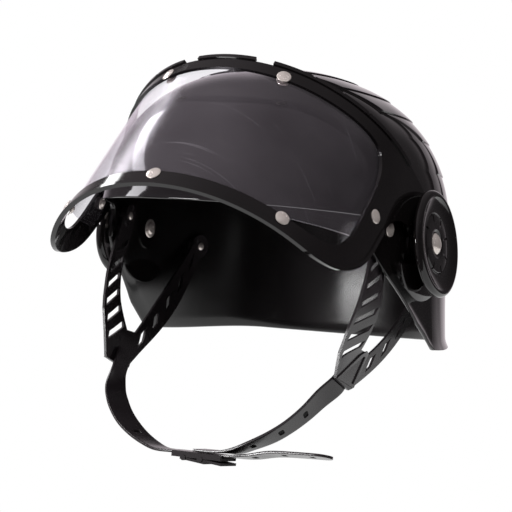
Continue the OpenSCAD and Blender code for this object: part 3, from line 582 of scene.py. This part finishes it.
def washer_profile(bore, radius):
    """A flat washer whose outer corners are cut off slantwise."""
    flat, top = radius - washer_edge, washer_t - washer_edge
    outer = [[flat, 0], [radius, washer_edge], [radius, top], [flat, washer_t]]
    return [[0, 0], [bore, 0], *outer, [bore, washer_t], [0, washer_t]]


def bright_nickel():
    """Nickelled steel: a warm mirror under a worn pale bloom, with small dents from the closing
    tool."""
    finish, tree, shader, add = new_finish("bright_nickel")
    bloom = noise(add, 420.0, 4.0, 0.6)
    tone = two_tones(add, bloom, (0.72, 0.64, 0.59), (0.93, 0.87, 0.82))
    dents = bumped(add, noise(add, 260.0, 2.0), 0.4, 0.0004)
    wire_up(tree, shader, tone, ranged(add, bloom, 0.3, 0.7, 0.14, 0.3), dents)
    shader.inputs["Metallic"].default_value = 0.6
    return finish


nickel = bright_nickel()


def nickel_piece(name, parts, body, node):
    """Rivets or washers as one piece of bright nickel, which stands for the CAD node named."""
    make_piece(name, parts, body, nickel, [node], sharp=50)


visor_rivet = rivet_profile(visor_grip + head_seat)
visor_washer = washer_profile(shank_d / 2 + hole_play, washer_r)
behind_sheet = sheet_out - sheet_t - washer_gap - washer_t
for group, spots in visor_places.items():
    heads = turned(visor_rivet, [on_visor(a, h, visor_wall / 2 + head_seat) for a, h in spots])
    nickel_piece("rivets_" + group, heads, "visor", "visor_rivets_" + group)
    backs = turned(visor_washer, [on_visor(a, h, behind_sheet) for a, h in spots])
    nickel_piece("washers_" + group, backs, "visor", "visor_washers_" + group)

# The ear discs. Dished caps of black plastic with a fat rounded rim and a raised middle, whose edge
# has eight small notches. Each turns freely on its own tilted pivot outside the visor's arm.
disc_r, disc_face, disc_rim, disc_tilt, disc_turn = 32.4, 7.5, 3, math.radians(7.9), math.radians(3)
notch_count, notch_first, notch_half, notch_in, notch_out, notch_floor = 8, 15, 2.3, 16.8, 18.6, 4.1
knee_x, disc_bore, disc_ripple, disc_rough = 104.0, 2.55, 0.06, 0.07
disc_black = glossy_black("disc_black", disc_ripple, disc_rough)
hands = ((1, "left"), (-1, "right"))


def disc_place(side):
    """The disc's axis: outwards from the knee of the pivot, tilted up and turned back a little."""
    level = math.cos(disc_tilt)
    out = np.array([level * math.cos(disc_turn), level * math.sin(disc_turn), math.sin(disc_tilt)])
    flip = np.array([side, 1, 1])
    return upright_on(np.array([knee_x, 0, 0]) * flip, out * flip)


def disc_grid():
    """The disc's section as a closed loop of radius and height, back, rim, dish, step and middle,
    spun round, with the middle's edge let down at each notch."""
    back = [[disc_bore, 1.5], [8, 1.5], [8, 2.9], [27.8, 2.9], [29.2, 2.1], [29.7, 1.6]]
    arc = np.radians(np.linspace(-35, 100, 22))
    round_x, round_z = disc_rim * np.cos(arc), disc_rim * np.sin(arc)
    rim = np.column_stack([disc_r - disc_rim + round_x, disc_face - disc_rim + round_z])
    dish = [[28.6, 7.42], [26.6, 6.5], [23.6, 5.55], [21, 5.1], [18.9, 5.0]]
    dish = curve_through(dish, np.linspace(0, 4, 17))[1:]
    step = [[18.65, 4.9], [18.5, 4.45], [18.3, 4.3], [17.9, 4.3],
            [17.7, 4.5], [17.6, 5.1], [17.3, 5.35], [16.9, 5.42]]
    middle = [[13, 5.5], [9.4, 5.56], [8.6, 5.5], [8.1, 5.1],
              [7.6, 4.65], [7.2, 4.5], [disc_bore, 4.5]]
    loop = np.concatenate([back, rim, dish, step, middle])
    notch = math.radians(360 / notch_count) * np.arange(notch_count) + math.radians(notch_first)
    near = np.radians([-2.4, -2.2, 0, 2.2, 2.4])
    even = np.linspace(0, 2 * np.pi, 161)[:-1]
    f = np.unique(np.concatenate([even, (notch[:, None] + near).ravel()]))
    r, z = loop[:, 0][None, :], np.repeat(loop[:, 1][None, :], len(f), 0)
    apart = np.abs((f[:, None] - notch[None, :] + np.pi) % (2 * np.pi) - np.pi).min(1)
    in_notch = (apart < math.radians(notch_half))[:, None] & (r > notch_in) & (r < notch_out)
    front = (np.arange(len(loop)) >= len(back) + len(rim))[None, :]
    z = np.where(in_notch & front, notch_floor, z)
    return np.stack([r * np.cos(f)[:, None], r * np.sin(f)[:, None], z], -1)


for side, hand in hands:
    place = disc_place(side)
    disc = skin(disc_grid() @ place[:, :3].T + place[:, 3], "ring")
    node = "ear_disc_" + hand
    make_piece("disc_" + hand, [disc], node, disc_black, [node], sharp=50)

# The ear pivots. One larger nickelled rivet a side: a straight shank through wall and arm, a collar,
# then the disc's own tilted shank with a low domed head, and a washer under the tail inside.
pivot_r, pivot_head_r, pivot_head_h, pivot_head_z, knee_gap = 2.5, 6.5, 3, 4.55, 0.35
tail_x, collar_x, collar_w, collar_h = 91.65, 103.55, 1.3, 1.25
pivot_washer_x, pivot_washer_r = 91.7, 6
straight_top = knee_x - knee_gap - tail_x
head_line = [[0, 0], [pivot_head_r - 0.3, 0], [pivot_head_r - 0.05, 0.1], [pivot_head_r, 0.3],
             [pivot_head_r - 0.08, 0.52], *domed(pivot_head_r - 0.25, pivot_head_h, 0.66, 14)]
tilted_line = [[0, 0.1], [pivot_r, 0.1], [pivot_r, pivot_head_z], [0, pivot_head_z]]
straight_line = [[0, -1.4], [2.2, -1.35], [3.6, -1.0], [4, -0.45], [4, 0], [pivot_r, 0.02],
                 [pivot_r, straight_top], [0, straight_top]]
collar_line = [[0, 0], [pivot_r + collar_w, 0], [pivot_r + collar_w, collar_h], [0, collar_h]]
pivot_washer = washer_profile(disc_bore, pivot_washer_r)


def on_ear_axis(side, x):
    """A place on the axis through both ears, so far out, facing outwards."""
    return [upright_on([side * x, 0, 0], [side, 0, 0])]


for side, hand in hands:
    place = disc_place(side)
    lift = place.copy()
    lift[:, 3] += place[:, 2] * pivot_head_z
    parts = turned(head_line, [lift], 56) + turned(tilted_line, [place])
    parts += turned(straight_line, on_ear_axis(side, tail_x))
    parts += turned(collar_line, on_ear_axis(side, collar_x))
    nickel_piece("pivot_" + hand, parts, "helmet", "pivot_rivet_" + hand)
    back = turned(pivot_washer, on_ear_axis(side, pivot_washer_x))
    nickel_piece("pivot_back_" + hand, back, "helmet", "pivot_washer_" + hand)

# The strap yokes. Two flat lattices of satin black plastic, cut through with slanting slots, each
# riveted inside the shell at the temple and behind the ear, and joined below at a bordered plate.
front_rivet, rear_rivet = (-34.0, 5.5), (54.0, -7.0)
seat_gap, seat_t, strap_t, pad_proud = 0.3, 1.4, 1.6, 0.8
yoke_in = seat_gap + seat_t + strap_t
yoke_edge, front_from, front_turn, front_side = 0.3, 10, 10, 16
arm_v, arm_u = [11, 32, 48, 65], [-6, -6.5, -3.4, 1.8]
rear_start, rear_side, twist_from, twist_over, cut_top, cut_step = [2.0, -5.0], 9, 0.16, 0.72, 74, 4


def satin_black(name, dull=0.0):
    """Soft satin plastic: dark grey with a warm cast, a fine moulded grain and a broad soft shine,
    duller where the points are marked as in a hole, where its colour is painted near black as shade."""
    finish, tree, shader, add = new_finish(name)
    cloud = noise(add, 45.0, 3.0)
    in_hole = add("ShaderNodeAttribute", attribute_name="in_hole").outputs["Fac"]
    tone = two_tones(add, cloud, (0.017, 0.0145, 0.016), (0.026, 0.022, 0.024))
    # Painted shade: where a point lies in a hole, its colour is mixed towards near black, standing in
    # for the shade that falls there.
    tone = add("ShaderNodeMixRGB", in0=in_hole, in1=tone, in2=(0.0012, 0.001, 0.001, 1))
    gloss = ranged(add, cloud, 0.3, 0.7, 0.2 + dull, 0.28 + dull)
    gloss = worked(add, "MULTIPLY_ADD", in_hole, 0.6, gloss)
    grain = bumped(add, noise(add, 420.0, 2.0), 0.008, 0.0001)
    wire_up(tree, shader, tone.outputs["Color"], gloss, grain)
    shader.inputs["Specular IOR Level"].default_value = 0.5 - dull
    return finish


def wall_place(yz, inset):
    """Where the shell's side wall stands y behind and z above the ears, its own outward direction
    there, and how far the plates stand over it."""
    a, t = az_at(np.array(yz[0])), tau_at(np.array(yz[1]))
    p = dome(a, t)
    out = np.cross(dome(a + 0.5, t) - p, dome(a, t + 0.005) - p)
    return dome(a, t, inset), out / np.linalg.norm(out), plate_height(a, t)


def yoke_pad(yz):
    """The middle of a pad's outer face, inside the wall by the seat and the strap."""
    return wall_place(yz, shell_wall)[0] - wall_place(yz, 0)[1] * yoke_in


joint = np.array([78.2, -43, -79.0])
pad_a, pad_c = yoke_pad(front_rivet), yoke_pad(rear_rivet)
yoke_n = np.cross(pad_c - joint, pad_a - joint)
yoke_n /= np.linalg.norm(yoke_n)
yoke_u = np.cross([0, 0, 1], yoke_n)
yoke_u /= np.linalg.norm(yoke_u)
yoke_v = np.cross(yoke_n, yoke_u)


def worn_yoke(side, bulge, back, rear_twist, sag):
    """The planes that cut a flat yoke across, and the rule that bends it. In the yoke's own plane u
    runs back and v up from the joint. Between joint and pad the front arm bulges outwards and a
    little back as a sine, turned with its rear edge outwards; the rear arm is twisted as a sine
    about its own middle line, which sags."""
    flip = np.array([side, 1, 1])
    top_u, top = (pad_a - joint) @ yoke_u, (pad_a - joint) @ yoke_v
    end = np.array([(pad_c - joint) @ yoke_u, (pad_c - joint) @ yoke_v])
    start = np.array(rear_start)
    long = np.linalg.norm(end - start)
    way = (end - start) / long

    def bend(points):
        q = points * 1000 * flip - joint
        u, v = q @ yoke_u, q @ yoke_v
        in_front = (u < front_side) & (v > front_from)
        middle = np.interp(v, [*arm_v, top], [*arm_u, top_u])
        up = np.clip((v - front_from) / (top - 2 * front_from), 0, 1)
        part = np.sin(np.pi * up) * in_front
        out = part * (bulge + math.tan(math.radians(front_turn)) * (u - middle))
        from_start = np.stack([u, v], -1) - start
        ahead = from_start @ way / long
        across = from_start @ np.array([-way[1], way[0]])
        across = across + sag * np.sin(np.pi * np.clip(ahead, 0, 1))
        in_rear = ~in_front & (np.abs(across) < rear_side)
        rear = np.sin(np.pi * np.clip((ahead - twist_from) / twist_over, 0, 1)) * in_rear
        out = out + rear * math.tan(math.radians(rear_twist)) * across
        return points + ((out[:, None] * yoke_n + (part * back)[:, None] * yoke_u) * flip) * mm

    heights = range(front_from, cut_top, cut_step)
    return [((joint + yoke_v * h) * flip * mm, yoke_v * flip) for h in heights], bend


strap_black = satin_black("strap_black")
worn = {
    "left": worn_yoke(1, bulge=5.5, back=2.5, rear_twist=0, sag=12),
    "right": worn_yoke(-1, bulge=3, back=0, rear_twist=22, sag=5),
}
for hand, (cuts, bend) in worn.items():
    node = "strap_yoke_" + hand
    rounded_copy(node, "yoke_" + hand, "helmet", strap_black, yoke_edge, cuts, bend)

# The yokes' rivets. The same small nickelled rivets, two a side, with their heads outside the shell
# and their rounded tails showing on the yoke's pads inside.
yoke_head_seat, yoke_play = 0.25, 0.1
for side, hand in hands:
    heads = []
    for yz in (front_rivet, rear_rivet):
        outer, out, rise = wall_place(yz, 0.0)
        inner = wall_place(yz, shell_wall)[0]
        proud = float(rise) + yoke_head_seat
        grip = proud + float((outer - inner) @ out) + yoke_in + pad_proud + yoke_play
        flip = np.array([side, 1, 1])
        heads += turned(rivet_profile(grip), [upright_on((outer + out * proud) * flip, out * flip)])
    nickel_piece("yoke_rivets_pair_" + hand, heads, "helmet", "yoke_rivets_" + hand)

# The chin strap. Two flat bands of the same satin plastic, hanging from the joint plates; the right
# one is longer, passes through the buckle and ends free, and both have a row of punched holes.
strap_mid = np.array([0, -81.0, -137.0])
strap_w, tail_len, strap_lift, strap_corner = 15.0, 72.0, 2.25, 0.35
hole_half, hole_wide, hole_deep, hole_slope, hole_n, strap_step = 1.75, 2.6, 0.6, 0.14, 5, 1.1
left_holes, right_holes = [3, 4.45, 5.95], [5.9, 13.1, 14.35, 15.3]
far_joint = joint * [-1, 1, 1]
short_path = [
    joint + [-2.6, 0, 0], joint + [-2.8, -6, -8], joint + [-8.5, -15.5, -17.5], [64.5, -67, -106],
    [57.6, -73, -114.2], [49, -77, -121], [38, -79.5, -126.9], strap_mid + [28, 0.5, 5.8],
    strap_mid + [18, 0, strap_lift + 2.15], strap_mid + [4, 0, strap_lift + 1.85],
]
short_across = [
    [0, 0.8, -0.6], [0, 0.74, -0.67], [-0.04, 0.78, -0.62], [-0.12, 0.84, -0.52], [-0.13, 0.9, -0.42],
    [-0.09, 0.93, -0.34], [-0.07, 0.97, -0.24], [-0.05, 0.98, -0.15], [0, 1, 0], [0, 1, 0],
]
long_path = [
    far_joint + [1.7, 0, -2], far_joint + [3.3, -7, -12], [-73.6, -54.5, -102], [-69, -58.5, -109.5],
    [-62.5, -63, -116], [-54, -68, -122], [-43.6, -73, -127.5], [-32.4, -77, -132],
    strap_mid + [-22, 1.4, strap_lift], strap_mid + [-9, 0.4, strap_lift],
    strap_mid + [5, 0, strap_lift], strap_mid + [20, 0, strap_lift],
    strap_mid + [30, 0.4, strap_lift + 0.4], strap_mid + [40, 1, strap_lift + 1.6],
    strap_mid + [18 + tail_len * 0.5, 1.2, strap_lift + 4.4],
    strap_mid + [18 + tail_len * 0.75, 1.6, strap_lift + 5.4],
    strap_mid + [18 + tail_len, 2.2, strap_lift + 5.8],
]
long_across = [
    [0, 1, -0.05], [0.03, 0.97, -0.2], [0.42, 0.87, -0.2], [0.56, 0.82, -0.12], [0.56, 0.82, -0.06],
    [0.52, 0.84, 0], [0.42, 0.91, 0], [0.28, 0.96, 0], [0.12, 0.99, 0], [0, 1, 0], [0, 1, 0],
    [0, 1, 0], [0, 0.99, -0.08], [0, 0.98, -0.14],
    [0, 0.98, -0.17], [0, 0.98, -0.17], [0, 0.98, -0.17],
]


def band_section():
    """The band's section as a closed loop across and up: an oblong with its corners rounded, its
    points close together where the holes are."""
    half, thick = strap_w / 2, strap_t / 2
    turn = np.radians([30, 60, 90])
    edge_t = half - strap_corner + strap_corner * np.sin(turn)
    edge_z = thick - strap_corner + strap_corner * np.cos(turn)
    flat = np.concatenate([[-6.2, -4.6, -3.6], np.linspace(-3.0, 3.0, 25), [3.6, 4.6, 6.2]])
    over = np.concatenate([-edge_t[::-1], [strap_corner - half], flat, [half - strap_corner], edge_t])
    over_z = np.concatenate([edge_z[::-1], np.full(len(flat) + 2, thick), edge_z])
    return np.concatenate([over, over[::-1]]), np.concatenate([over_z, -over_z[::-1]])


def punched_band(path, across, holes, round_end):
    """A flat band whose middle follows the path, as loops round its section. Each hole is a rounded
    oblong, a superellipse, let into both faces down to a thin web. Near a rounded end the width
    closes as a half circle does. Beside the mesh it returns how far each point is down in a hole."""
    u = np.linspace(0, len(path) - 1, 2400)
    arc = np.linalg.norm(np.diff(curve_through(path, u), axis=0), axis=1)
    arc = np.concatenate([[0], np.cumsum(arc)])
    cuts = np.interp(holes, u, arc)
    along = np.linspace(0, arc[-1], int(arc[-1] / strap_step))
    along = along[np.abs(along[:, None] - cuts[None, :]).min(1) > 2.2]
    tip = arc[-1] - np.array([0.05, 0.25, 0.55, 1.0]) if round_end else []
    at_holes = (cuts[:, None] + np.linspace(-2.0, 2.0, 21)).ravel()
    along = np.sort(np.concatenate([along, at_holes, tip]))
    v = np.interp(along, arc, u)
    centre = curve_through(path, v)
    last = len(path) - 1
    d = curve_through(path, np.minimum(v + 0.02, last)) - curve_through(path, np.maximum(v - 0.02, 0))
    d /= np.linalg.norm(d, axis=1, keepdims=True)
    a = curve_through(across, v)
    a -= (a * d).sum(1, keepdims=True) * d
    a /= np.linalg.norm(a, axis=1, keepdims=True)
    up = np.cross(d, a)
    t, z = band_section()
    half, left = strap_w / 2, arc[-1] - along
    width = np.ones(len(along))
    if round_end:
        circle = np.sqrt(np.maximum(0.02, 1 - ((half - left) / half) ** 2))
        width = np.where(left < half, circle, 1)
    from_cut = np.abs(along[:, None] - cuts[None, :]).min(1)[:, None]
    reach = (from_cut / hole_half) ** hole_n + (np.abs(t)[None, :] / hole_wide) ** hole_n
    deep = ease((1 - reach ** (1 / hole_n)) / hole_slope)
    height = z[None, :] - np.sign(z)[None, :] * hole_deep * deep
    sideways = a[:, None] * (t[None, :] * width[:, None])[..., None]
    return skin(centre[:, None] + sideways + up[:, None] * height[..., None], "strip"), deep.ravel()


straps = {
    "left": punched_band(short_path, short_across, left_holes, round_end=False),
    "right": punched_band(long_path, long_across, right_holes, round_end=True),
}
for hand, (band, deep) in straps.items():
    strap = make_piece("strap_" + hand, [band], "helmet", strap_black,
                       ["chin_strap_" + hand], sharp=40)
    # How deep each point lies in a hole is kept for the material. The material paints shade there and
    # makes the shine duller.
    mark_points(strap, "in_hole", deep)

# The buckle. A small ladder of the same plastic: two rails, two round bars under the long band, each
# with a slanting tongue that grips it, and an end bar.
buckle_dull, buckle_edge = 0.35, 0.25
buckle_black = satin_black("buckle_black", buckle_dull)
rounded_copy("chin_buckle", "ladder_buckle", "helmet", buckle_black, buckle_edge)

# The studio. A white sweep under and behind the helmet and a dim grey room before it, lit by a long
# slanting soft box on its right, a low one near the front, and a wide even light from above. Places
# and sizes are in metres from here on, and powers in watts.
white, warm_grey = (1, 1, 1, 1), (1.05, 0.95, 1.0)
room_light, floor_size, floor_place = 0.08, 6, (0, 2.65, -0.6)
glows = (
    ((-0.68, -0.66, 0.32), 0.1, 1.0, 0.26),
    ((-0.48, 0.87, 0.0), 0.7, 1.0, 0.7),
    ((0.0, -0.1, 0.99), 0.3, 1.0, 0.14),
)


def sees_white(add, rays):
    """1 for the rays named, which look at the white sweep itself, and 0 for the rest."""
    path = add("ShaderNodeLightPath")
    sight = path.outputs[rays[0]]
    for ray in rays[1:]:
        sight = worked(add, "MAXIMUM", sight, path.outputs[ray])
    return sight


def glow_towards(add, direction, start, end, strength):
    """Light from one side of the room: none where a ray's cosine with the direction is start, all of
    it at end, eased between."""
    ray = add("ShaderNodeTexCoord").outputs["Generated"]
    cosine = add("ShaderNodeVectorMath", operation="DOT_PRODUCT", in0=ray, in1=direction)
    return ranged(add, cosine.outputs["Value"], start, end, 0.0, strength, "SMOOTHSTEP")


world = bpy.data.worlds.new("sweep")
bpy.context.scene.world = world
world.use_nodes = True
tree = world.node_tree
add = node_adder(tree)
light = room_light
for glow in glows:
    light = worked(add, "ADD", light, glow_towards(add, *glow))
room = add("ShaderNodeVectorMath", operation="SCALE", in0=warm_grey, Scale=light).outputs["Vector"]
sight = sees_white(add, ["Is Camera Ray", "Is Transmission Ray"])
seen = add("ShaderNodeMixRGB", in0=sight, in1=room, in2=white)
tree.links.new(seen.outputs[0], tree.nodes["Background"].inputs["Color"])
tree.nodes["Background"].inputs["Strength"].default_value = 1.0

bpy.ops.mesh.primitive_plane_add(size=floor_size, location=floor_place)
floor = bpy.context.object
floor.name = "floor"
floor_finish, tree, shader, add = new_finish("white_sweep")
shader.inputs["Base Color"].default_value = (0.85, 0.85, 0.85, 1)
shader.inputs["Roughness"].default_value = 0.9
own_light = add("ShaderNodeEmission", Color=white, Strength=1.0)
sight = sees_white(add, ["Is Camera Ray", "Is Transmission Ray", "Is Glossy Ray"])
both = add("ShaderNodeMixShader", in0=sight, in1=shader.outputs[0], in2=own_light.outputs[0])
tree.links.new(both.outputs[0], tree.nodes["Material Output"].inputs["Surface"])
floor.data.materials.append(floor_finish)


def from_helmet(azimuth, elevation, distance):
    """A place so many degrees round from the front towards the helmet's left, so many up, and so far
    away."""
    a, e = math.radians(azimuth), math.radians(elevation)
    level = distance * math.cos(e)
    return [level * math.sin(a), -level * math.cos(a), distance * math.sin(e)]


def soft_lamp(name, place, size, power, mirrored=True, roll=0):
    """An oblong soft lamp that faces the helmet's middle, rolled over by so many degrees; one that
    isn't mirrored lights the helmet without a reflection of its own."""
    data = bpy.data.lights.new(name, "AREA")
    data.shape, data.size, data.size_y, data.energy = "RECTANGLE", size[0], size[1], power
    lamp = bpy.data.objects.new(name, data)
    bpy.context.scene.collection.objects.link(lamp)
    lamp.location = place
    aim = Vector(np.array([0.0, -0.02, 0.0]) - np.array(place)).to_track_quat("-Z", "Y")
    lamp.rotation_mode = "QUATERNION"
    lamp.rotation_quaternion = aim @ Quaternion((0, 0, 1), math.radians(roll))
    lamp.visible_glossy = mirrored


soft_lamp("long_box", from_helmet(-78, 26.5, 1.6), (1.66, 0.3), 16, roll=-31)
soft_lamp("low_box", from_helmet(-28, 2, 1.8), (0.34, 0.36), 18)
soft_lamp("even_light", from_helmet(50, 45, 2.0), (1.0, 1.0), 24, mirrored=False)

# The camera. It stands low at the helmet's left front, and its place, its upward and backward
# directions and its long lens, in pixels of the picture, were fitted to the photograph.
eye = np.array([0.6449, -1.2073, -0.0649])
up, back = np.array([-0.0555, -0.0727, 0.9958]), np.array([0.4782, -0.8775, -0.0374])
lens_px, picture_px, sensor = 2200, 512, 36
camera_data = bpy.data.cameras.new("camera")
camera_data.lens, camera_data.sensor_width = lens_px / picture_px * sensor, sensor
camera_data.clip_end = 100
camera = bpy.data.objects.new("camera", camera_data)
bpy.context.scene.collection.objects.link(camera)
up = up - (up @ back) * back
up /= np.linalg.norm(up)
back /= np.linalg.norm(back)
stand = np.column_stack([np.cross(up, back), up, back, eye])
camera.matrix_world = Matrix([*stand.tolist(), [0, 0, 0, 1]])
bpy.context.scene.camera = camera
bpy.context.scene.view_settings.view_transform = "Standard"
